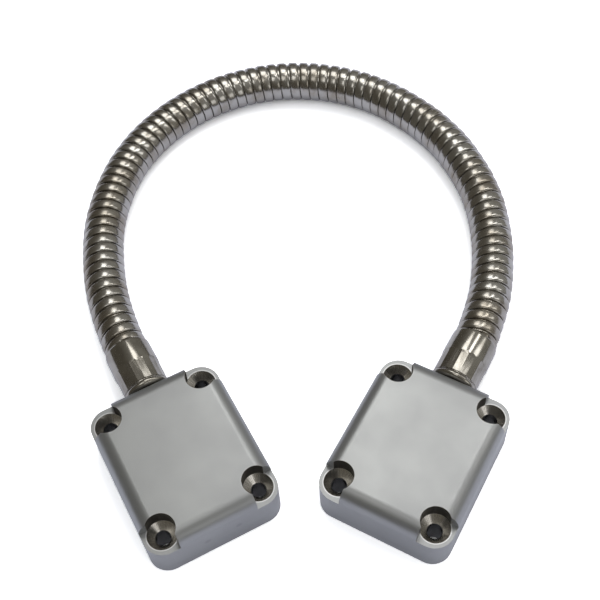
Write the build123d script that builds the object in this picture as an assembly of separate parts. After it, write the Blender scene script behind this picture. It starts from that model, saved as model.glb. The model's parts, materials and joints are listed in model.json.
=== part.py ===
from build123d import *
import os
from math import cos, pi, radians, tan

# Armoured door loop: interlocked steel conduit that carries a cable from a door to its frame,
# with a cast end box at each end. Millimetres, +Z up. The boxes lie on their open backs and the
# conduit lies on the same surface. The origin is the middle of the whole outline, on that surface.
# Each end is drawn in a frame of its own: X across the box, +Y towards the conduit, Z up.

# --- end box: one casting, open at the back ---
box_width = 50.0
box_length = 61.0
box_height = 20.9
box_wall = 2.4
box_roof = 2.6
upright_corner_radius = 7.2
top_edge_radius = 5.5

# --- screw corners: a countersunk hole for an M5 screw in a round post, under a cut-away corner ---
hole_spacing_x = 36.3
hole_spacing_y = 46.5
post_radius = 7.0
ledge_height = 14.8
pocket_radius = 5.3
screw_hole_radius = 2.75
countersink_depth = pocket_radius - screw_hole_radius
notch_reach = 3.7

# --- conduit: short rigid hoops of the interlocked strip, on one bore ---
hoop_count = 40
hoops_to_bore_length = 2
hoop_radius = 8.2
bore_radius = 6.2
neck_radius = 7.6

# --- end fitting: collar outside the box, barrel in the conduit, threaded neck through the wall ---
exit_height = 10.0
collar_length = 3.0
collar_radius = 9.3
collar_rim = 1.3
barrel_radius = 6.15
barrel_length = 17.0
neck_outer_radius = 6.4
neck_length = 7.5
cable_radius = 4.9
wall_hole_radius = 6.5

# --- crimp sleeve: round at the collar, pressed to twelve flats at the mouth ---
sleeve_radius = 8.75
sleeve_bore_radius = 7.65
sleeve_length = 19.0
crimp_length = 9.5
crimp_flats = 12
mouth_distance = collar_length + sleeve_length

# --- lock nut inside the box ---
nut_across_flats = 16.0
nut_thickness = 3.0
nut_bore_radius = 6.45
nut_chamfer = 0.5

# --- where each end lies: middle of its base, and its turn about +Z ---
end_places = {
    "left": (-39.5, -78.1, 28.15),
    "right": (42.3, -76.6, -28.15),
}

# --- the conduit's route between the mouths of the two sleeves, chosen by hand ---
route_points = [
    (-77.2, 2.0, 9.4),
    (-79.6, 35.0, 8.4),
    (-68.8, 70.0, 8.2),
    (-42.8, 96.8, 8.2),
    (-7.2, 108.3, 8.2),
    (29.7, 100.5, 8.2),
    (59.2, 76.0, 8.2),
    (74.5, 46.5, 8.2),
    (79.3, 20.5, 8.5),
    (77.4, -4.0, 9.4),
]
straight_lead = 12.0
arc_share = 0.45


def end_location(side):
    """The place of one end's own frame."""
    x, y, turn = end_places[side]
    return Location((x, y, 0), (0, 0, turn))


def exit_plane():
    """In an end's own frame: on the outer face of the conduit's wall, with Z along the conduit."""
    return Plane(origin=(0, box_length / 2, exit_height), x_dir=(1, 0, 0), z_dir=(0, 1, 0))


def tube(outer, inner, start, length):
    """A round tube about Z from start to start + length."""
    ring = Circle(outer) - Circle(inner)
    return Pos(0, 0, start) * extrude(ring, length)


def end_box():
    """The cast box: filleted shell, four screw posts, cut-away corners and the conduit's hole."""
    shell = extrude(RectangleRounded(box_width, box_length, upright_corner_radius), box_height)
    shell = fillet(shell.faces().sort_by(Axis.Z)[-1].edges(), top_edge_radius)
    cavity = extrude(
        RectangleRounded(
            box_width - 2 * box_wall,
            box_length - 2 * box_wall,
            upright_corner_radius - box_wall,
        ),
        box_height - box_roof,
    )
    holes = [(sx * hole_spacing_x / 2, sy * hole_spacing_y / 2) for sx in (-1, 1) for sy in (-1, 1)]
    for x, y in holes:
        cavity -= Pos(x, y, 0) * extrude(Circle(post_radius), box_height)
    box = shell - cavity
    above = box_height - ledge_height
    for x, y in holes:
        out_x = 1 if x > 0 else -1
        out_y = 1 if y > 0 else -1
        pocket = extrude(Circle(pocket_radius), above)
        notch_side = 2 * notch_reach + upright_corner_radius
        notch_middle = notch_side / 2 - notch_reach
        notch = Pos(out_x * notch_middle, out_y * notch_middle, 0) * extrude(
            Rectangle(notch_side, notch_side), above
        )
        box -= Pos(x, y, ledge_height) * (pocket + notch)
        countersink = Cone(
            screw_hole_radius,
            pocket_radius,
            countersink_depth,
            align=(Align.CENTER, Align.CENTER, Align.MAX),
        )
        box -= Pos(x, y, ledge_height) * countersink
        box -= Pos(x, y, 0) * extrude(Circle(screw_hole_radius), ledge_height)
    wall_hole = Pos(0, 0, -2 * box_wall) * extrude(Circle(wall_hole_radius), 3 * box_wall)
    return box - exit_plane() * wall_hole


def end_fitting():
    """The turned fitting that joins the conduit to the box, with the cable's bore through it."""
    with BuildPart() as fitting:
        with BuildSketch(Plane.XZ):
            with BuildLine():
                Polyline(
                    (cable_radius, -neck_length),
                    (neck_outer_radius, -neck_length),
                    (neck_outer_radius, 0),
                    (collar_radius, 0),
                    (collar_radius, collar_rim),
                    (sleeve_radius, collar_length),
                    (barrel_radius, collar_length),
                    (barrel_radius, collar_length + barrel_length),
                    (cable_radius, collar_length + barrel_length),
                    close=True,
                )
            make_face()
        revolve(axis=Axis.Z)
    return exit_plane() * fitting.part


def crimp_sleeve():
    """The ferrule pressed over the conduit's end: a round half and a twelve-sided half."""
    sleeve = tube(sleeve_radius, sleeve_bore_radius, collar_length, sleeve_length)
    crimp_start = mouth_distance - crimp_length
    outside = Circle(sleeve_radius + 1) - RegularPolygon(sleeve_radius, crimp_flats)
    sleeve -= Pos(0, 0, crimp_start) * extrude(outside, crimp_length)
    return exit_plane() * sleeve


def lock_nut():
    """The thin hexagon nut that holds the fitting's neck against the wall from inside."""
    blank = extrude(RegularPolygon(nut_across_flats / 2, 6, major_radius=False), nut_thickness)
    blank -= extrude(Circle(nut_bore_radius), nut_thickness)
    across_corners = nut_across_flats / cos(radians(30))
    chamfer_cone = Cone(
        across_corners / 2 + nut_thickness,
        across_corners / 2 - nut_chamfer,
        nut_thickness + nut_chamfer,
        align=(Align.CENTER, Align.CENTER, Align.MIN),
    )
    nut = blank & chamfer_cone
    face_inside = -box_wall
    return exit_plane() * Pos(0, 0, face_inside) * Rot(180, 0, 0) * nut


def conduit_route():
    """The route's points with both straight leads, and the arc radius at each inner point."""
    points = []
    for side in ("left", "right"):
        mouth = end_location(side) * exit_plane().location * Pos(0, 0, mouth_distance)
        lead = mouth * Pos(0, 0, straight_lead)
        points.append((mouth.position, lead.position))
    route = [points[0][0], points[0][1]]
    route += [Vector(*point) for point in route_points]
    route += [points[1][1], points[1][0]]
    radii = []
    for before, corner, after in zip(route, route[1:], route[2:]):
        turn = (corner - before).get_angle(after - corner)
        shorter = min((corner - before).length, (after - corner).length)
        radii.append(arc_share * shorter / tan(radians(turn) / 2))
    return route, radii


def ring_rod(rings, radius):
    """A rod through round rings, with a straight ruled wall from each ring to the next."""
    return Solid.make_loft([(ring * Circle(radius)).wire() for ring in rings], ruled=True)


def conduit():
    """Hoops set one after another along the route, with a plain neck in the sleeve at each end."""
    route, radii = conduit_route()
    path = FilletPolyline(*route, radius=radii)
    print("arc radii:", [round(radius, 1) for radius in radii])
    print("conduit between the sleeves:", round(path.length, 1), "mm")
    rings = []
    for index in range(hoop_count + 1):
        place = index / hoop_count
        rings.append(Plane(origin=path @ place, x_dir=(0, 0, 1), z_dir=path % place))
    body = ring_rod(rings, hoop_radius) - ring_rod(rings[::hoops_to_bore_length], bore_radius)
    for side in end_places:
        neck = exit_plane() * tube(neck_radius, bore_radius, collar_length, sleeve_length)
        body += end_location(side) * neck
    section = pi * (hoop_radius**2 - bore_radius**2)
    neck_volume = 2 * pi * (neck_radius**2 - bore_radius**2) * sleeve_length
    expected = section * path.length + neck_volume
    print("conduit volume:", round(body.volume), "against section times length:", round(expected))
    return body


def main():
    """Build every node and write its STEP file."""
    os.makedirs("parts", exist_ok=True)
    makers = {
        "end_box": end_box,
        "end_fitting": end_fitting,
        "crimp_sleeve": crimp_sleeve,
        "lock_nut": lock_nut,
    }
    for side in end_places:
        for name, maker in makers.items():
            export_step(end_location(side) * maker(), f"parts/{side}_{name}.step")
    export_step(conduit(), "parts/conduit.step")


main()
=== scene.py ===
"""Armoured door loop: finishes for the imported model, its banded conduit and a plain studio."""

import json
import logging
from dataclasses import dataclass
from enum import Enum
from math import atan2, cos, pi, radians, sin
from typing import ClassVar, Dict, List, Sequence, Tuple

import bpy
import numpy as np
from mathutils import Matrix, Vector


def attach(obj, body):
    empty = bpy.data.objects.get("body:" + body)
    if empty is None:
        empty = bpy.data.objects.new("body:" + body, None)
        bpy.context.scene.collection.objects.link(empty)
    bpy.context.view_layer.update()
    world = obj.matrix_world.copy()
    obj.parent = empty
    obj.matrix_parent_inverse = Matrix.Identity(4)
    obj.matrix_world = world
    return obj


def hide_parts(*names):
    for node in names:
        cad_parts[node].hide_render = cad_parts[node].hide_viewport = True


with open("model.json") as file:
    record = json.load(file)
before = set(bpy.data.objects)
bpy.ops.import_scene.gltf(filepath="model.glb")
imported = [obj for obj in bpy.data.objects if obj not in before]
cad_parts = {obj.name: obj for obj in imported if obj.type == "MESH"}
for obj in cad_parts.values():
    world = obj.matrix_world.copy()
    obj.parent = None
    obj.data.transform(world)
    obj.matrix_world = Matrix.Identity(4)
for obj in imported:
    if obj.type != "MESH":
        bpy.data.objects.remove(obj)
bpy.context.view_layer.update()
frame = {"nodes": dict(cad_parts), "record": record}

logging.basicConfig(level=logging.INFO, format="%(message)s")
log = logging.getLogger("door_loop")

Pair = Tuple[float, float]
Point = Tuple[float, float, float]
Colour = Tuple[float, float, float]
Faces = List[Tuple[int, ...]]
Material = bpy.types.Material
Node = bpy.types.Node
Piece = bpy.types.Object
Socket = bpy.types.NodeSocket
Tree = bpy.types.NodeTree

MM = 0.001
NONE_TO_ALL: Pair = (0.0, 1.0)


class Side(Enum):
    """The two ends of the loop, by the word that begins their nodes' names."""

    LEFT = "left"
    RIGHT = "right"


def rgba(colour: Colour) -> Tuple[float, float, float, float]:
    """A colour with full alpha."""
    return (*colour, 1.0)


def node(tree: Tree, kind: str, **settings: object) -> Node:
    """Add a node to a tree.

    Args:
        tree: The node tree of a material, a world or a group.
        kind: The node's type name, such as "ShaderNodeMath".
        **settings: Properties of the node, such as its operation.

    Returns:
        The new node.
    """
    made = tree.nodes.new(kind)
    for name, value in settings.items():
        setattr(made, name, value)
    return made


def feed(tree: Tree, socket: Socket, value: object) -> None:
    """Link a socket to another socket, or set it to a plain value.

    Args:
        tree: The tree that both belong to.
        socket: The input to feed.
        value: An output socket, a number, a vector or a colour.
    """
    if isinstance(value, Socket):
        tree.links.new(value, socket)
    elif isinstance(value, tuple) and len(value) == 3 and socket.type == "RGBA":
        socket.default_value = rgba(value)
    else:
        socket.default_value = value


def calc(tree: Tree, operation: str, *values: object) -> Socket:
    """Put a Math node on one or two values.

    Args:
        tree: The node tree.
        operation: The Math node's operation.
        *values: Sockets or numbers, in order.

    Returns:
        The node's output socket.
    """
    made = node(tree, "ShaderNodeMath", operation=operation)
    for socket, value in zip(made.inputs, values):
        feed(tree, socket, value)
    return made.outputs[0]


def squares(tree: Tree, first: Socket, second: Socket) -> Socket:
    """Add the squares of two values."""
    return calc(tree, "ADD", calc(tree, "POWER", first, 2.0), calc(tree, "POWER", second, 2.0))


def ramp(tree: Tree, value: Socket, reach: Pair, shown: Pair = NONE_TO_ALL,
         place: float = 0.0) -> Socket:
    """Map a value smoothly from one range to another.

    Args:
        tree: The node tree.
        value: The socket to map.
        reach: Where the change starts and where it ends; either may be the larger.
        shown: The results at those two, which also hold beyond them.
        place: What reach is counted from.

    Returns:
        The mapped value's socket.
    """
    made = node(tree, "ShaderNodeMapRange", interpolation_type="SMOOTHSTEP")
    start, end = reach
    for socket, number in zip(made.inputs, (value, place + start, place + end, *shown)):
        feed(tree, socket, number)
    return made.outputs[0]


def mix(tree: Tree, amount: Socket, first: object, second: object) -> Socket:
    """Mix two colours.

    Args:
        tree: The node tree.
        amount: 0 for the first colour, 1 for the second.
        first: A colour or a colour socket.
        second: A colour or a colour socket.

    Returns:
        The mixed colour's socket.
    """
    made = node(tree, "ShaderNodeMix", data_type="RGBA")
    feed(tree, made.inputs[0], amount)
    feed(tree, made.inputs[6], first)
    feed(tree, made.inputs[7], second)
    return made.outputs[2]


def blend(tree: Tree, amount: Socket, first: Socket, second: object) -> Socket:
    """Mix two numbers.

    Args:
        tree: The node tree.
        amount: 0 for the first number, 1 for the second.
        first: The first number's socket.
        second: A number or its socket.

    Returns:
        The mixed number's socket.
    """
    kept = calc(tree, "MULTIPLY", first, calc(tree, "SUBTRACT", 1.0, amount))
    return calc(tree, "ADD", kept, calc(tree, "MULTIPLY", amount, second))


def own_space(tree: Tree, point: Point, turn: float) -> Socket:
    """Centre and turn the Object coordinates, so that a finish lies square on its piece.

    Args:
        tree: The material's tree.
        point: The new origin.
        turn: The turn about Z, in radians.

    Returns:
        The new coordinates' socket.
    """
    place = node(tree, "ShaderNodeTexCoord")
    own = node(tree, "ShaderNodeMapping", vector_type="TEXTURE")
    own.inputs["Location"].default_value = point
    own.inputs["Rotation"].default_value = (0.0, 0.0, turn)
    feed(tree, own.inputs["Vector"], place.outputs["Object"])
    return own.outputs[0]


def split(tree: Tree, vector: Socket) -> Tuple[Socket, Socket, Socket]:
    """Split a vector.

    Args:
        tree: The material's tree.
        vector: The vector's socket.

    Returns:
        The sockets of its X, Y and Z.
    """
    parts = node(tree, "ShaderNodeSeparateXYZ")
    feed(tree, parts.inputs[0], vector)
    return tuple(parts.outputs)


def drawn_out(tree: Tree, vector: Socket, scale: Point) -> Socket:
    """Scale coordinates, so that a grain on them is drawn out into streaks.

    Args:
        tree: The material's tree.
        vector: The coordinates.
        scale: The scale of each; the streaks run along the small one.

    Returns:
        The scaled coordinates' socket.
    """
    drawn = node(tree, "ShaderNodeMapping")
    drawn.inputs["Scale"].default_value = scale
    feed(tree, drawn.inputs["Vector"], vector)
    return drawn.outputs[0]


def noise_along(tree: Tree, value: Socket, scale: float) -> Socket:
    """Draw noise along one value.

    Args:
        tree: The material's tree.
        value: The value that the noise runs along.
        scale: How fine the noise is.

    Returns:
        The noise's socket.
    """
    noise = node(tree, "ShaderNodeTexNoise", noise_dimensions="1D")
    feed(tree, noise.inputs["W"], value)
    noise.inputs["Scale"].default_value = scale
    return noise.outputs[0]


class GrainGroup:
    """Shared effect: a fine even grain, as on blasted or rolled metal, and slow patches of tone."""

    name: ClassVar[str] = "Metal grain"
    roughness: ClassVar[float] = 0.6
    layers: ClassVar[Sequence[Tuple[str, str, float]]] = (
        ("Grain scale", "Grain", 2.0),
        ("Patch scale", "Patches", 4.0),
    )

    @classmethod
    def tree(cls) -> Tree:
        """Build the group once, and return it from then on.

        Returns:
            The group's tree, with outputs Grain and Patches.
        """
        if cls.name in bpy.data.node_groups:
            return bpy.data.node_groups[cls.name]
        tree = bpy.data.node_groups.new(cls.name, "ShaderNodeTree")
        sockets = tree.interface
        sockets.new_socket("Vector", in_out="INPUT", socket_type="NodeSocketVector")
        for scale, output, _ in cls.layers:
            sockets.new_socket(scale, in_out="INPUT", socket_type="NodeSocketFloat")
            sockets.new_socket(output, in_out="OUTPUT", socket_type="NodeSocketFloat")
        start = node(tree, "NodeGroupInput")
        end = node(tree, "NodeGroupOutput")
        for scale, output, detail in cls.layers:
            noise = node(tree, "ShaderNodeTexNoise")
            feed(tree, noise.inputs["Vector"], start.outputs["Vector"])
            feed(tree, noise.inputs["Scale"], start.outputs[scale])
            noise.inputs["Detail"].default_value = detail
            noise.inputs["Roughness"].default_value = cls.roughness
            feed(tree, end.inputs[output], noise.outputs[0])
        return tree

    @classmethod
    def place(cls, tree: Tree, vector: Socket, scales: Pair) -> Tuple[Socket, Socket]:
        """Place the group in a material.

        Args:
            tree: The material's tree.
            vector: The coordinates that the grain lies in.
            scales: Grains and patches to a metre.

        Returns:
            The sockets of the grain and of the patches.
        """
        made = node(tree, "ShaderNodeGroup", node_tree=cls.tree())
        feed(tree, made.inputs["Vector"], vector)
        for (name, _, _), scale in zip(cls.layers, scales):
            made.inputs[name].default_value = scale
        return made.outputs["Grain"], made.outputs["Patches"]


@dataclass(frozen=True)
class Finish:
    """What every finish holds: its name, and a metal shader to fill in.

    In each finish, a range or an edge is where a change starts and where it ends, and the
    relief is the depth of its bumps and how much of them shows.
    """

    name: str

    def start(self) -> Tuple[Material, Tree, Node]:
        """Make the material.

        Returns:
            The material, its tree and its metal shader.
        """
        material = bpy.data.materials.new(self.name)
        material.use_nodes = True
        tree = material.node_tree
        shader = tree.nodes["Principled BSDF"]
        shader.inputs["Metallic"].default_value = 1.0
        return material, tree, shader

    def bump(self, tree: Tree, shader: Node, height: Socket, relief: Pair) -> None:
        """Feed a height to the shader's normal.

        Args:
            tree: The material's tree.
            shader: The Principled shader.
            height: The height from 0 to 1.
            relief: What a height of 1 is, in metres, and how much of it shows.
        """
        made = node(tree, "ShaderNodeBump")
        distance, strength = relief
        made.inputs["Strength"].default_value = strength
        made.inputs["Distance"].default_value = distance
        feed(tree, made.inputs["Height"], height)
        feed(tree, shader.inputs["Normal"], made.outputs[0])


@dataclass(frozen=True)
class CastFinish(Finish):
    """Satin lacquered casting, with bright turned cones in its screw corners, painted shade on the
    pocket walls above them and a painted highlight round the edge of each hole.
    """

    middle: Pair
    turn: float
    hole: Pair
    marks: Tuple[Pair, ...] = ()

    cast: Colour = (0.30, 0.306, 0.302)
    cast_dark: Colour = (0.28, 0.285, 0.285)
    turned: Colour = (0.36, 0.345, 0.315)
    # Bright turned metal for the chatter, and the painted highlight round the edge of each hole.
    turned_bright_and_highlight: Colour = (0.62, 0.60, 0.56)
    rim: Colour = (0.70, 0.70, 0.70)
    # Painted shade: near black for the pocket walls above each countersink.
    wall: Colour = (0.085, 0.08, 0.07)
    bore: Colour = (0.30, 0.30, 0.29)
    smudge: Colour = (0.14, 0.14, 0.14)

    grain_scales: Pair = (2600.0, 24.0)
    tone_range: Pair = (0.35, 0.68)
    satin_range: Pair = (0.3, 0.7)
    satin: Pair = (0.36, 0.43)
    cone_roughness: float = 0.27
    metallic: Pair = (0.85, 1.0)
    relief: Pair = (0.02 * MM, 0.5)

    pocket_radius: float = 5.3 * MM
    hole_radius: float = 2.75 * MM
    ledge: float = 14.8 * MM
    pocket_edge: Pair = (0.2 * MM, 0.02 * MM)
    ledge_edge: Pair = (0.01 * MM, -0.06 * MM)
    bore_edge: Pair = (0.06 * MM, 0.02 * MM)
    # Painted highlight: a bright ring round the edge of each hole.
    mouth_highlight_edge: Pair = (0.42 * MM, 0.2 * MM)
    mouth_highlight_shown: Pair = (0.0, 0.75)
    lip_edge: Pair = (0.5 * MM, 0.22 * MM)
    lip_height: Pair = (0.3 * MM, 0.1 * MM)
    lip_height_shown: Pair = (0.15, 1.0)
    lip_strength: float = 0.8

    chatter_turns: float = 9.0
    chatter_scale: float = 2.0
    chatter_range: Pair = (0.35, 0.7)
    ring_pitch: float = 0.32 * MM
    ring_depth: float = 0.25

    back_wall: Pair = (-30.3 * MM, -30.45 * MM)
    mark_size: Pair = (1.25 * MM, 1.2 * MM)
    mark_edge: Pair = (1.7, 0.1)
    mark_shown: Pair = (0.0, 0.3)

    def build(self) -> Material:
        """Build the material in the box's own coordinates, so that all corners share one cone.

        Returns:
            The material.
        """
        material, tree, shader = self.start()
        own = own_space(tree, (*self.middle, 0.0), self.turn)
        across, along, height = split(tree, own)
        out_x = calc(tree, "SUBTRACT", calc(tree, "ABSOLUTE", across), self.hole[0])
        out_y = calc(tree, "SUBTRACT", calc(tree, "ABSOLUTE", along), self.hole[1])
        radius = calc(tree, "SQRT", squares(tree, out_x, out_y))
        in_pocket = ramp(tree, radius, self.pocket_edge, place=self.pocket_radius)
        under_ledge = ramp(tree, height, self.ledge_edge, place=self.ledge)
        cone = calc(tree, "MULTIPLY", in_pocket, under_ledge)
        # Painted shade mask: the pocket walls above the ledge, inside each countersink's radius.
        wall = calc(tree, "MULTIPLY", in_pocket, calc(tree, "SUBTRACT", 1.0, under_ledge))

        grain, patches = GrainGroup.place(tree, own, self.grain_scales)
        colour = mix(tree, ramp(tree, patches, self.tone_range), self.cast, self.cast_dark)
        colour = mix(tree, self.lip(tree, radius, height), colour, self.rim)
        # Painted shade: the pocket walls are coloured near black.
        colour = mix(tree, wall, colour, self.wall)
        colour = mix(tree, self.smudges(tree, across, along, height), colour, self.smudge)
        angle = calc(tree, "ARCTAN2", out_y, out_x)
        colour = mix(tree, cone, colour, self.cone_colour(tree, radius, angle))
        feed(tree, shader.inputs["Base Color"], colour)

        satin = ramp(tree, patches, self.satin_range, self.satin)
        feed(tree, shader.inputs["Roughness"], blend(tree, cone, satin, self.cone_roughness))
        feed(tree, shader.inputs["Metallic"], ramp(tree, cone, NONE_TO_ALL, self.metallic))
        rings = calc(tree, "SINE", calc(tree, "MULTIPLY", radius, 2 * pi / self.ring_pitch))
        rings = calc(tree, "MULTIPLY", rings, self.ring_depth)
        self.bump(tree, shader, blend(tree, cone, grain, rings), self.relief)
        return material

    def cone_colour(self, tree: Tree, radius: Socket, angle: Socket) -> Socket:
        """Colour a countersink, with the tool's chatter, a painted highlight round the edge of the
        hole and the bore in it.

        Args:
            tree: The material's tree.
            radius: The distance from the screw hole's axis.
            angle: The angle round that axis.

        Returns:
            The colour's socket.
        """
        chatter = noise_along(tree, calc(tree, "MULTIPLY", angle, self.chatter_turns),
                              self.chatter_scale)
        share = ramp(tree, chatter, self.chatter_range)
        colour = mix(tree, share, self.turned, self.turned_bright_and_highlight)
        # Painted highlight: the edge of the hole is coloured bright all round.
        mouth_highlight = ramp(tree, radius, self.mouth_highlight_edge, self.mouth_highlight_shown, self.hole_radius)
        colour = mix(tree, mouth_highlight, colour, self.turned_bright_and_highlight)
        bore = ramp(tree, radius, self.bore_edge, place=self.hole_radius)
        return mix(tree, bore, colour, self.bore)

    def lip(self, tree: Tree, radius: Socket, height: Socket) -> Socket:
        """Mask the bare lip round each countersink, which fades over the ledge.

        Args:
            tree: The material's tree.
            radius: The distance from the screw hole's axis.
            height: The height over the floor.

        Returns:
            A mask that is 0 away from the lip.
        """
        near = ramp(tree, radius, self.lip_edge, place=self.pocket_radius)
        on_ledge = ramp(tree, height, self.lip_height, self.lip_height_shown, self.ledge)
        return calc(tree, "MULTIPLY", calc(tree, "MULTIPLY", near, on_ledge), self.lip_strength)

    def smudges(self, tree: Tree, across: Socket, along: Socket, height: Socket) -> Socket:
        """Mask the faint rubbed marks on the back wall.

        Args:
            tree: The material's tree.
            across: The place across the box.
            along: The place along the box.
            height: The height over the floor.

        Returns:
            A mask that is 0 away from the marks.
        """
        total: object = 0.0
        for mark in self.marks:
            wide, tall = (
                calc(tree, "DIVIDE", calc(tree, "SUBTRACT", place, middle), size)
                for place, middle, size in zip((across, height), mark, self.mark_size)
            )
            shown = ramp(tree, squares(tree, wide, tall), self.mark_edge, self.mark_shown)
            total = calc(tree, "ADD", total, shown)
        return calc(tree, "MULTIPLY", total, ramp(tree, along, self.back_wall))


@dataclass(frozen=True)
class TurnedFinish(Finish):
    """Nickelled steel, turned or pressed, with fine lines round its axis."""

    point: Point
    turn: float
    roughness: float = 0.16
    line_pitch: float = 0.25 * MM
    pressed_until: float = 0.0

    base: Colour = (0.33, 0.315, 0.28)
    base_dark: Colour = (0.24, 0.225, 0.195)
    grain_scales: Pair = (1400.0, 160.0)
    tone_range: Pair = (0.35, 0.7)
    dull_range: Pair = (0.3, 0.75)
    dulling: float = 0.08
    relief: Pair = (0.008 * MM, 0.3)

    press_edge: Pair = (0.0, -0.4 * MM)
    brushed_scales: Pair = (2600.0, 900.0)
    brushed_stretch: Point = (1.0, 0.12, 1.0)
    worn_range: Pair = (0.4, 0.7)
    worn_dark: float = 0.35
    worn_rough: float = 0.14

    def build(self) -> Material:
        """Build the material in coordinates whose Y runs along the piece's axis.

        Returns:
            The material.
        """
        material, tree, shader = self.start()
        own = own_space(tree, self.point, self.turn)
        _, along, _ = split(tree, own)
        _, patches = GrainGroup.place(tree, own, self.grain_scales)
        brushed = drawn_out(tree, own, self.brushed_stretch)
        hairs, scuffs = GrainGroup.place(tree, brushed, self.brushed_scales)
        pressed = ramp(tree, along, self.press_edge, place=self.pressed_until)
        worn = calc(tree, "MULTIPLY", ramp(tree, scuffs, self.worn_range), pressed)

        colour = mix(tree, ramp(tree, patches, self.tone_range), self.base, self.base_dark)
        darker = calc(tree, "MULTIPLY", worn, self.worn_dark)
        feed(tree, shader.inputs["Base Color"], mix(tree, darker, colour, self.base_dark))
        dull = (self.roughness, self.roughness + self.dulling)
        rougher = calc(tree, "MULTIPLY", worn, self.worn_rough)
        rough = calc(tree, "ADD", ramp(tree, patches, self.dull_range, dull), rougher)
        feed(tree, shader.inputs["Roughness"], rough)
        lines = noise_along(tree, along, 1.0 / self.line_pitch)
        height = calc(tree, "ADD", lines, calc(tree, "MULTIPLY", hairs, pressed))
        self.bump(tree, shader, height, self.relief)
        return material


@dataclass(frozen=True)
class StripFinish(Finish):
    """Polished steel strip, with faint rolling lines along it and dull patches all over it."""

    uv_map: str

    base: Colour = (0.375, 0.365, 0.34)
    base_dark: Colour = (0.26, 0.235, 0.195)
    roughness: float = 0.15
    dulling: float = 0.08
    rolled_scales: Pair = (5200.0, 900.0)
    rolled_stretch: Point = (0.02, 1.0, 1.0)
    streak_range: Pair = (0.3, 0.7)
    patch_scales: Pair = (700.0, 90.0)
    tone_range: Pair = (0.35, 0.7)
    dull_range: Pair = (0.35, 0.75)
    relief: Pair = (0.006 * MM, 0.4)

    def build(self) -> Material:
        """Build the material on the strip's own map, whose U runs along the strip.

        Returns:
            The material.
        """
        material, tree, shader = self.start()
        own = node(tree, "ShaderNodeUVMap", uv_map=self.uv_map)
        rolled = drawn_out(tree, own.outputs[0], self.rolled_stretch)
        lines, streaks = GrainGroup.place(tree, rolled, self.rolled_scales)
        place = node(tree, "ShaderNodeTexCoord")
        _, patches = GrainGroup.place(tree, place.outputs["Object"], self.patch_scales)
        colour = mix(tree, ramp(tree, patches, self.tone_range), self.base, self.base_dark)
        feed(tree, shader.inputs["Base Color"], colour)
        streak = ramp(tree, streaks, self.streak_range, (0.0, self.dulling))
        dull = (self.roughness, self.roughness + self.dulling)
        patch = ramp(tree, patches, self.dull_range, dull)
        feed(tree, shader.inputs["Roughness"], calc(tree, "ADD", streak, patch))
        self.bump(tree, shader, lines, self.relief)
        return material


class Turned:
    """Shared steps for a round piece: a pattern upright at the origin, and its copies in place."""

    @staticmethod
    def spun(name: str, profile: Sequence[Pair], segments: int = 120) -> Piece:
        """Model a closed ring by pulling a circle through a profile.

        Args:
            name: The object's name.
            profile: Radius and height of each ring in millimetres, in order round the section.
            segments: How many sides the circle has.

        Returns:
            The new object, upright at the origin.
        """
        bpy.ops.object.select_all(action="DESELECT")
        radius, height = profile[0]
        bpy.ops.mesh.primitive_circle_add(vertices=segments, radius=radius * MM,
                                          location=(0.0, 0.0, height * MM))
        made = bpy.context.object
        made.name = name
        bpy.ops.object.transform_apply(location=True, rotation=True, scale=True)
        bpy.ops.object.mode_set(mode="EDIT")
        bpy.ops.mesh.select_mode(type="VERT")
        bpy.ops.mesh.select_all(action="SELECT")
        for (before, low), (radius, height) in zip(profile, profile[1:]):
            rise = {"value": (0.0, 0.0, (height - low) * MM)}
            bpy.ops.mesh.extrude_region_move(TRANSFORM_OT_translate=rise)
            share = radius / before
            bpy.ops.transform.resize(value=(share, share, 1.0),
                                     center_override=(0.0, 0.0, height * MM))
        bpy.ops.mesh.select_all(action="DESELECT")
        bpy.ops.mesh.select_non_manifold()
        bpy.ops.mesh.bridge_edge_loops()
        bpy.ops.mesh.select_all(action="SELECT")
        bpy.ops.mesh.normals_make_consistent(inside=False)
        bpy.ops.object.mode_set(mode="OBJECT")
        return made

    @staticmethod
    def copied(pattern: Piece, name: str, place: Matrix, crease: float) -> Piece:
        """Copy a pattern to its place in a mesh of its own, and smooth all but its creases.

        Args:
            pattern: The piece, upright at the origin.
            name: The copy's name.
            place: The copy's place.
            crease: The sharpest angle that is smoothed, in degrees.

        Returns:
            The copy.
        """
        made = pattern.copy()
        made.data = pattern.data.copy()
        made.name = made.data.name = name
        bpy.context.scene.collection.objects.link(made)
        bpy.ops.object.select_all(action="DESELECT")
        made.select_set(True)
        bpy.context.view_layer.objects.active = made
        made.matrix_world = place
        bpy.ops.object.transform_apply(location=True, rotation=True, scale=True)
        bpy.ops.object.shade_smooth_by_angle(angle=radians(crease))
        return made


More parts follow.
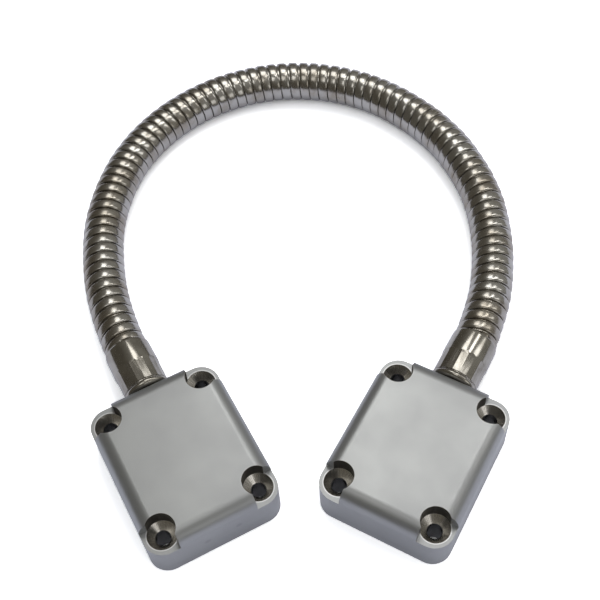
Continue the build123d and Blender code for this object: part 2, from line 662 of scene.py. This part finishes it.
@dataclass(frozen=True)
class Fitting:
    """The turned fitting: a beaded collar, a barrel in the conduit and a threaded neck.

    Its sizes are in millimetres, and its heights are counted from the box's outer face.
    """

    bore: float = 4.9
    chamfer: float = 0.2
    neck_end: float = -7.5
    thread_start: float = -7.3
    thread_stop: float = -2.9
    thread_outer: float = 6.4
    thread_inner: float = 6.05
    thread_pitch: float = 0.75
    barrel: float = 6.15
    barrel_start: float = 2.98
    barrel_end: float = 20.0
    collar: Sequence[Pair] = (
        (7.4, 0.0),
        (8.3, 0.22),
        (8.86, 0.62),
        (9.16, 1.15),
        (9.22, 1.6),
        (9.06, 1.98),
        (8.82, 2.22),
        (8.72, 2.42),
        (8.8, 2.65),
        (8.6, 2.95),
    )

    def build(self) -> Piece:
        """Model the fitting, upright at the origin.

        Returns:
            The fitting's pattern.
        """
        profile = [(self.bore, self.neck_end), (self.thread_inner, self.neck_end)]
        height = self.thread_start
        while height < self.thread_stop:
            profile.append((self.thread_outer, height + self.thread_pitch / 2))
            profile.append((self.thread_inner, height + self.thread_pitch))
            height += self.thread_pitch
        profile += [(self.thread_outer, height + self.chamfer), (self.thread_outer, 0.0)]
        profile += self.collar
        profile += [
            (self.barrel, self.barrel_start),
            (self.barrel, self.barrel_end - self.chamfer),
            (self.barrel - self.chamfer, self.barrel_end),
            (self.bore, self.barrel_end),
        ]
        return Turned.spun("fitting_pattern", profile)


@dataclass(frozen=True)
class Sleeve:
    """The ferrule: a round half at the conduit, and a half pressed to narrow flats at the collar.

    Its sizes are in millimetres, and its heights are counted from the box's outer face.
    """

    segments: int = 160
    flats: int = 20
    flat_corner: float = 8.66
    flare_corner: float = 9.3
    press_start: float = 2.0
    press_end: float = 10.9
    flare_end: float = 13.6
    press_top: float = 23.0
    top_slope: float = 0.9
    outline: Sequence[Pair] = (
        (7.66, 3.05),
        (8.5, 3.05),
        (8.72, 3.2),
        (8.84, 3.6),
        (8.86, 8.0),
        (8.88, 12.4),
        (8.86, 15.0),
        (8.76, 20.6),
        (8.66, 21.4),
        (8.48, 21.8),
        (8.2, 21.98),
        (7.66, 21.98),
    )

    def build(self) -> Piece:
        """Model the sleeve, upright at the origin.

        Returns:
            The sleeve's pattern.
        """
        made = Turned.spun("sleeve_pattern", self.outline, self.segments)
        press = self.press()
        pressed = made.modifiers.new("Press", "BOOLEAN")
        pressed.operation = "INTERSECT"
        pressed.solver = "EXACT"
        pressed.object = press
        bpy.context.view_layer.objects.active = made
        bpy.ops.object.modifier_apply(modifier=pressed.name)
        bpy.data.meshes.remove(press.data)
        return made

    def press(self) -> Piece:
        """Model the space that the press leaves: a prism of many flats, flared at its end.

        Returns:
            The prism.
        """
        bpy.ops.object.select_all(action="DESELECT")
        middle = (self.press_end + self.press_start) / 2 * MM
        bpy.ops.mesh.primitive_cylinder_add(vertices=self.flats, radius=self.flat_corner * MM,
                                            depth=(self.press_end - self.press_start) * MM,
                                            location=(0.0, 0.0, middle))
        press = bpy.context.object
        bpy.ops.object.transform_apply(location=True, rotation=True, scale=True)
        bpy.ops.object.mode_set(mode="EDIT")
        bpy.ops.mesh.select_mode(type="FACE")
        bpy.ops.mesh.select_all(action="DESELECT")
        bpy.ops.object.mode_set(mode="OBJECT")
        for face in press.data.polygons:
            face.select = face.normal.z > self.top_slope
        bpy.ops.object.mode_set(mode="EDIT")
        flare = (self.flare_end - self.press_end, self.flare_corner / self.flat_corner)
        straight = (self.press_top - self.flare_end, 1.0)
        for height, share in (flare, straight):
            rise = {"value": (0.0, 0.0, height * MM)}
            bpy.ops.mesh.extrude_region_move(TRANSFORM_OT_translate=rise)
            bpy.ops.transform.resize(value=(share, share, 1.0))
        bpy.ops.object.mode_set(mode="OBJECT")
        return press


def dress(name: str, finish: Finish) -> None:
    """Give a CAD node a finish on its object, leaving its mesh as it is.

    Args:
        name: The CAD node's name.
        finish: The finish.
    """
    material = finish.build()
    for slot in frame["nodes"][name].material_slots:
        slot.link = "OBJECT"
        slot.material = material
    log.info("dressed %s in %s", name, material.name)


@dataclass
class EndPiece:
    """One end of the loop: its box, fitting, sleeve and nut, placed by the mounts in the record.

    A clock is the sleeve's turn about its axis and a crease the sharpest angle that is smoothed,
    both in degrees. A mark is the place of a rubbed mark across the box and over the floor.
    """

    side: Side

    wall: float = 30.5 * MM
    exit_height: float = 10.0 * MM
    pressed_end: float = 12.4 * MM
    fitting_crease: float = 32.0
    sleeve_crease: float = 14.0
    sleeve_roughness: float = 0.12
    sleeve_pitch: float = 0.6 * MM
    nut_roughness: float = 0.3
    clocks: ClassVar[Dict[Side, float]] = {Side.LEFT: 4.6, Side.RIGHT: -9.2}
    marks: ClassVar[Dict[Side, Tuple[Pair, ...]]] = {
        Side.LEFT: ((-5.1 * MM, 9.4 * MM), (6.8 * MM, 9.8 * MM)),
        Side.RIGHT: (),
    }

    def __post_init__(self) -> None:
        """Find the middle of the box and its turn from its four screw holes."""
        side = self.side.value
        holes = {
            mount["name"]: Vector(mount["pos_m"])
            for mount in frame["record"]["mounts"]
            if mount["name"].startswith(side) and mount["name"].endswith("screw_hole")
        }
        back_left, back_right, exit_left = (
            holes[f"{side}_box_{corner}_screw_hole"]
            for corner in ("back_left", "back_right", "exit_left")
        )
        self.middle: Vector = sum(holes.values(), Vector()) / len(holes)
        self.middle.z = 0.0
        across = back_right - back_left
        self.turn: float = atan2(across.y, across.x)
        self.hole: Pair = (across.length / 2, (exit_left - back_left).length / 2)

    def build(self, fitting: Piece, sleeve: Piece) -> None:
        """Finish this end's box and nut, and put new pieces in the place of the other two nodes.

        Args:
            fitting: The fitting's pattern.
            sleeve: The sleeve's pattern.
        """
        name = self.side.value
        middle = tuple(self.middle)
        cast = CastFinish(f"Cast box {name}", middle[:2], self.turn, self.hole,
                          self.marks[self.side])
        dress(f"{name}_end_box", cast)

        place = self.exit_place()
        collar = Turned.copied(fitting, f"{name}_turned_fitting", place, self.fitting_crease)
        turned = TurnedFinish(f"Turned fitting {name}", middle, self.turn)
        self.swap(collar, f"{name}_end_fitting", turned)

        clocked = place @ Matrix.Rotation(radians(self.clocks[self.side]), 4, "Z")
        ferrule = Turned.copied(sleeve, f"{name}_pressed_sleeve", clocked, self.sleeve_crease)
        crimped = TurnedFinish(f"Crimped sleeve {name}", middle, self.turn,
                               self.sleeve_roughness, self.sleeve_pitch,
                               self.wall + self.pressed_end)
        self.swap(ferrule, f"{name}_crimp_sleeve", crimped)

        nut = TurnedFinish(f"Lock nut {name}", middle, self.turn, self.nut_roughness)
        dress(f"{name}_lock_nut", nut)

    def exit_place(self) -> Matrix:
        """Find the place on the outer face of the conduit's wall, with Z along the conduit.

        Returns:
            The place.
        """
        turned = Matrix.Translation(self.middle) @ Matrix.Rotation(self.turn, 4, "Z")
        wall = Matrix.Translation((0.0, self.wall, self.exit_height))
        return turned @ wall @ Matrix.Rotation(radians(-90), 4, "X")

    def swap(self, made: Piece, name: str, finish: TurnedFinish) -> None:
        """Finish a new piece and put it in the place of a CAD node.

        Args:
            made: The new piece.
            name: The CAD node that it replaces.
            finish: Its finish.
        """
        made.data.materials.clear()
        made.data.materials.append(finish.build())
        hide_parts(name)
        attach(made, "root")
        log.info("modelled %s: %d faces", made.name, len(made.data.polygons))


@dataclass
class Conduit:
    """The interlocked conduit: one strip wound in a right-handed helix along a smooth line.

    The band is the strip's section in millimetres: places along the conduit, each with its radius.
    """

    route: Sequence[Point] = (
        (-0.06427, -0.03181, 0.0100),
        (-0.0696, -0.0211, 0.0100),
        (-0.0770, 0.0020, 0.0094),
        (-0.0803, 0.0351, 0.0084),
        (-0.0700, 0.0710, 0.0082),
        (-0.0438, 0.0985, 0.0082),
        (-0.0072, 0.1106, 0.0082),
        (0.0308, 0.1027, 0.0082),
        (0.0606, 0.0771, 0.0082),
        (0.0751, 0.0467, 0.0082),
        (0.0783, 0.0205, 0.0085),
        (0.0760, -0.0038, 0.0094),
        (0.0715, -0.0193, 0.0100),
        (0.06707, -0.03031, 0.0100),
    )
    length: float = 0.3656
    diameter: float = 16.4 * MM
    line_steps: int = 48
    turns: int = 82
    spare_turns: int = 3
    steps: int = 40
    bore_radius: float = 6.2 * MM
    neck_radius: float = 7.55 * MM
    neck_depth: float = 6.0 * MM
    sleeve_grip: float = 0.3 * MM
    uneven_pitch: float = 0.07 * MM
    uneven_radius: float = 0.02 * MM
    merged_within: float = 2e-7
    collapsed_within: float = 1e-8
    crease: float = 40.0
    uv_map: str = "strip"
    seed: int = 7
    band: Sequence[Pair] = (
        (-2.02, 7.25),
        (-1.98, 7.68),
        (-1.86, 7.92),
        (-1.62, 8.08),
        (-1.26, 8.16),
        (-0.70, 8.20),
        (0.20, 8.20),
        (0.88, 8.18),
        (1.32, 8.11),
        (1.66, 7.97),
        (1.90, 7.75),
        (1.98, 7.25),
    )

    def spline(self) -> Piece:
        """Make the route's smooth line as a curve with no thickness.

        Returns:
            The curve's object.
        """
        curve = bpy.data.curves.new("conduit_line", "CURVE")
        curve.dimensions = "3D"
        curve.resolution_u = self.line_steps
        line = curve.splines.new("NURBS")
        line.points.add(len(self.route) - 1)
        for point, place in zip(line.points, self.route):
            point.co = (*place, 1.0)
        line.order_u = 3
        line.use_endpoint_u = True
        made = bpy.data.objects.new("conduit_line", curve)
        bpy.context.scene.collection.objects.link(made)
        bpy.context.view_layer.update()
        return made

    def line(self) -> np.ndarray:
        """Read the points along the smooth line, and remove its curve.

        Returns:
            The points, of shape (count, 3).
        """
        guide = self.spline()
        mesh = bpy.data.meshes.new_from_object(guide)
        points = np.array([vertex.co for vertex in mesh.vertices])
        bpy.data.meshes.remove(mesh)
        bpy.data.objects.remove(guide)
        return points

    def frames(self, points: np.ndarray, at: np.ndarray) -> Tuple[np.ndarray, ...]:
        """Find the place, direction and two cross directions at distances along the line.

        Args:
            points: The line's points.
            at: Distances from its start, in metres; past either end it runs on straight.

        Returns:
            Arrays of places, tangents, level cross directions and upward cross directions.
        """
        runs = np.linalg.norm(np.diff(points, axis=0), axis=1)
        along = np.concatenate([[0.0], np.cumsum(runs)])
        inside = np.clip(at, 0.0, along[-1])
        place, tangent = (
            np.stack([np.interp(inside, along, values[:, axis]) for axis in range(3)], axis=-1)
            for values in (points, np.gradient(points, along, axis=0))
        )
        tangent /= np.linalg.norm(tangent, axis=-1, keepdims=True)
        place = place + tangent * (at - inside)[..., None]
        level = np.cross((0.0, 0.0, 1.0), tangent)
        level /= np.linalg.norm(level, axis=-1, keepdims=True)
        return place, tangent, level, np.cross(tangent, level)

    def strip(self, points: np.ndarray, total: float) -> Tuple[np.ndarray, np.ndarray]:
        """Place the strip's vertices: row by row along its helix, each row across the band.

        Args:
            points: The line's points.
            total: The line's length.

        Returns:
            Places of shape (rows, across, 3) and map coordinates of shape (rows, across, 2).
        """
        pitch = total / self.turns
        spare = int(self.neck_depth / pitch) + self.spare_turns
        rows = np.arange(-spare * self.steps, (self.turns + spare) * self.steps + 1)
        turn = rows / self.steps
        chance = np.random.RandomState(self.seed)
        knots = np.arange(-spare - 1, self.turns + spare + 2)
        shift = np.interp(turn, knots, chance.normal(0.0, self.uneven_pitch, len(knots)))
        lift = np.interp(turn, knots, chance.normal(0.0, self.uneven_radius, len(knots)))
        offset, radius = np.array(self.band).T * MM
        start, end = -self.neck_depth, total + self.neck_depth
        centre = pitch * turn + shift
        flat = np.clip(centre[:, None] + offset[None, :], start, end)
        clamped = np.clip(centre, start, end)
        place, tangent, level, upward = self.frames(points, clamped)
        in_sleeve = (flat < self.sleeve_grip) | (flat > total - self.sleeve_grip)
        size = np.where(in_sleeve, self.neck_radius, radius[None, :] + lift[:, None])
        angle = 2 * pi * rows / self.steps
        out = np.cos(angle)[:, None] * level + np.sin(angle)[:, None] * upward
        along = (flat - clamped[:, None])[..., None] * tangent[:, None, :]
        vertices = place[:, None, :] + along + size[..., None] * out[:, None, :]
        length = turn[:, None] * pi * self.diameter
        maps = [np.broadcast_to(values, flat.shape) for values in (length, offset[None, :])]
        return vertices, np.stack(maps, axis=-1)

    def strip_faces(self, rows: int, across: int) -> Faces:
        """List the strip's faces: across each row, and from its edge to the next turn's.

        Args:
            rows: How many rows the strip has.
            across: How many vertices a row has.

        Returns:
            The faces.
        """
        faces: Faces = []
        for row in range(rows - 1):
            base = row * across
            for corner in range(base, base + across - 1):
                faces.append((corner, corner + across, corner + across + 1, corner + 1))
            if row + self.steps + 1 < rows:
                last = base + across - 1
                following = (row + self.steps) * across
                faces.append((last, last + across, following + across, following))
        return faces

    def bore(self, points: np.ndarray, total: float) -> np.ndarray:
        """Place the vertices of the bore's rings, and of the rim at each end.

        Args:
            points: The line's points.
            total: The line's length.

        Returns:
            The places, ring by ring, and then those of the two rims.
        """
        stations = np.linspace(-self.neck_depth, total + self.neck_depth, self.turns + 1)
        place, _, level, upward = self.frames(points, stations)
        angle = 2 * pi * np.arange(self.steps)[None, :, None] / self.steps
        out = np.cos(angle) * level[:, None, :] + np.sin(angle) * upward[:, None, :]
        rings = place[:, None, :] + self.bore_radius * out
        rims = place[[0, -1], None, :] + self.neck_radius * out[[0, -1]]
        return np.concatenate([rings, rims]).reshape(-1, 3)

    def bore_faces(self, first: int) -> Faces:
        """List the faces of the bore, and those that close the tube from each rim to the bore.

        Args:
            first: The number of the bore's first vertex.

        Returns:
            The faces.
        """
        faces: Faces = []
        steps = [(step, (step + 1) % self.steps) for step in range(self.steps)]
        for ring in range(self.turns):
            base = first + ring * self.steps
            for step, following in steps:
                a, b = base + step, base + following
                faces.append((a, b, b + self.steps, a + self.steps))
        last = first + self.turns * self.steps
        start_rim = last + self.steps
        end_rim = start_rim + self.steps
        for step, following in steps:
            faces.append((start_rim + step, start_rim + following,
                          first + following, first + step))
        for step, following in steps:
            faces.append((end_rim + following, end_rim + step, last + step, last + following))
        return faces

    def build(self) -> None:
        points = self.line()
        total = float(np.linalg.norm(np.diff(points, axis=0), axis=1).sum())
        outer, maps = self.strip(points, total)
        inner = self.bore(points, total)
        rows, across = outer.shape[:2]
        vertices = np.concatenate([outer.reshape(-1, 3), inner])
        faces = self.strip_faces(rows, across) + self.bore_faces(rows * across)
        all_maps = np.concatenate([maps.reshape(-1, 2), np.zeros((len(inner), 2))])

        mesh = bpy.data.meshes.new("conduit_strip")
        mesh.from_pydata(vertices.tolist(), [], faces)
        uv = mesh.uv_layers.new(name=self.uv_map)
        corners = np.empty(len(mesh.loops), dtype=np.int64)
        mesh.loops.foreach_get("vertex_index", corners)
        uv.data.foreach_set("uv", all_maps[corners].astype(np.float32).ravel())
        made = bpy.data.objects.new("conduit_strip", mesh)
        bpy.context.scene.collection.objects.link(made)
        self.tidy(made)
        made.data.materials.append(StripFinish("Steel strip", self.uv_map).build())
        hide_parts("conduit")
        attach(made, "root")
        log.info("built %s: %d faces along %.1f mm", made.name, len(made.data.polygons),
                 total / MM)

    def tidy(self, made: Piece) -> None:
        """Merge the vertices that meet, drop the collapsed faces, and smooth all but the creases.

        Args:
            made: The strip.
        """
        bpy.ops.object.select_all(action="DESELECT")
        made.select_set(True)
        bpy.context.view_layer.objects.active = made
        bpy.ops.object.mode_set(mode="EDIT")
        bpy.ops.mesh.select_all(action="SELECT")
        bpy.ops.mesh.remove_doubles(threshold=self.merged_within)
        bpy.ops.mesh.dissolve_degenerate(threshold=self.collapsed_within)
        bpy.ops.mesh.select_all(action="SELECT")
        bpy.ops.mesh.normals_make_consistent(inside=False)
        bpy.ops.object.mode_set(mode="OBJECT")
        bpy.ops.object.shade_smooth_by_angle(angle=radians(self.crease))


@dataclass(frozen=True)
class Softbox:
    """A rectangular studio lamp that looks at the middle of the object."""

    name: str
    place: Point
    size: Pair
    power: float

    def build(self) -> None:
        """Add the lamp."""
        light = bpy.data.lights.new(self.name, "AREA")
        light.shape = "RECTANGLE"
        light.size, light.size_y = self.size
        light.energy = self.power
        made = bpy.data.objects.new(self.name, light)
        made.location = self.place
        made.rotation_euler = (-Vector(self.place)).to_track_quat("-Z", "Y").to_euler()
        bpy.context.scene.collection.objects.link(made)


@dataclass
class Studio:
    """A plain pale floor, soft lamps, the room that metal sees and the camera."""

    floor_size: float = 12.0
    floor_colour: Colour = (0.85, 0.86, 0.98)
    floor_shown: Colour = (1.9, 1.9, 1.9)
    floor_mirrored: float = 0.03
    room_dim: Colour = (0.15, 0.138, 0.115)
    room_pale: Colour = (0.42, 0.41, 0.385)
    pale_side: Point = (0.65, 0.20, 0.73)
    pale_range: Pair = (0.05, 0.95)
    sky: Colour = (0.62, 0.63, 0.65)
    white: Colour = (1.0, 1.0, 1.0)
    azimuth: float = 3.891
    elevation: float = 56.64
    roll: float = -4.243
    distance: float = 0.44356
    target: Point = (0.00078, -0.00348, 0.0)
    lens: float = 66.845
    sensor: float = 36.0
    clip: Pair = (0.01, 30.0)
    lamps: Sequence[Softbox] = (
        Softbox("Back softbox", (-0.02, 0.55, 1.06), (0.42, 0.55), 2.45),
        Softbox("Slot softbox", (0.47, 0.41, 1.03), (0.15, 0.45), 1.5),
        Softbox("Side softbox", (0.88, 0.18, 0.79), (0.19, 0.50), 0.85),
        Softbox("Top softbox", (-0.14, -0.40, 1.13), (0.35, 0.50), 1.1),
        Softbox("Overhead softbox", (0.20, 0.12, 1.17), (0.22, 0.22), 0.7),
        Softbox("Front softbox", (0.78, -0.86, 0.56), (0.60, 0.50), 1.1),
    )

    def build(self) -> None:
        """Build the floor, the world, the lamps and the camera."""
        self.floor()
        self.world()
        for lamp in self.lamps:
            lamp.build()
        self.camera()
        bpy.context.scene.view_settings.view_transform = "Standard"
        log.info("lit the studio with %d lamps", len(self.lamps))

    def floor(self) -> None:
        """Lay the floor: pale, white to the camera, and faint in what metal and glass show."""
        bpy.ops.object.select_all(action="DESELECT")
        bpy.ops.mesh.primitive_plane_add(size=self.floor_size, location=(0.0, 0.0, 0.0))
        made = bpy.context.object
        made.name = "floor"
        material = bpy.data.materials.new("Pale floor")
        material.use_nodes = True
        tree = material.node_tree
        tree.nodes.remove(tree.nodes["Principled BSDF"])
        rays = node(tree, "ShaderNodeLightPath").outputs
        mirrored = calc(tree, "MAXIMUM", rays["Is Glossy Ray"], rays["Is Transmission Ray"])
        mirrored = calc(tree, "MULTIPLY", mirrored, self.floor_mirrored)
        shown = calc(tree, "MAXIMUM", rays["Is Camera Ray"], mirrored)
        matt = node(tree, "ShaderNodeBsdfDiffuse")
        feed(tree, matt.inputs["Color"], mix(tree, shown, self.floor_colour, self.floor_shown))
        feed(tree, tree.nodes["Material Output"].inputs["Surface"], matt.outputs[0])
        made.data.materials.append(material)

    def world(self) -> None:
        """Light the floor from a pale sky, let metal see the room, and show the camera white."""
        world = bpy.data.worlds.new("Room")
        bpy.context.scene.world = world
        world.use_nodes = True
        tree = world.node_tree
        sky = tree.nodes["Background"]
        feed(tree, sky.inputs["Color"], self.sky)
        place = node(tree, "ShaderNodeTexCoord")
        toward = node(tree, "ShaderNodeVectorMath", operation="DOT_PRODUCT")
        feed(tree, toward.inputs[0], place.outputs["Generated"])
        toward.inputs[1].default_value = self.pale_side
        share = ramp(tree, toward.outputs["Value"], self.pale_range)
        room = mix(tree, share, self.room_dim, self.room_pale)
        rays = node(tree, "ShaderNodeLightPath").outputs
        seen = {"Is Glossy Ray": room, "Is Transmission Ray": room, "Is Camera Ray": self.white}
        shown = sky.outputs[0]
        for ray, colour in seen.items():
            light = node(tree, "ShaderNodeBackground")
            feed(tree, light.inputs["Color"], colour)
            either = node(tree, "ShaderNodeMixShader")
            for socket, value in zip(either.inputs, (rays[ray], shown, light.outputs[0])):
                feed(tree, socket, value)
            shown = either.outputs[0]
        feed(tree, tree.nodes["World Output"].inputs["Surface"], shown)

    def camera(self) -> None:
        """Set the camera by its angles round the target."""
        turn, rise = radians(self.azimuth), radians(self.elevation)
        back = Vector((sin(turn) * cos(rise), -cos(turn) * cos(rise), sin(rise)))
        data = bpy.data.cameras.new("Camera")
        data.lens = self.lens
        data.sensor_width = self.sensor
        data.clip_start, data.clip_end = self.clip
        made = bpy.data.objects.new("Camera", data)
        level = (-back).to_track_quat("-Z", "Y").to_matrix()
        rolled = level @ Matrix.Rotation(radians(self.roll), 3, "Z")
        made.rotation_mode = "QUATERNION"
        made.rotation_quaternion = rolled.to_quaternion()
        made.location = Vector(self.target) + back * self.distance
        bpy.context.scene.collection.objects.link(made)
        bpy.context.scene.camera = made


def main() -> None:
    """Build the conduit, both ends and the studio, in that order."""
    Conduit().build()
    patterns = (Fitting().build(), Sleeve().build())
    for side in Side:
        EndPiece(side).build(*patterns)
    for pattern in patterns:
        bpy.data.meshes.remove(pattern.data)
    Studio().build()


if __name__ == "__main__":
    main()
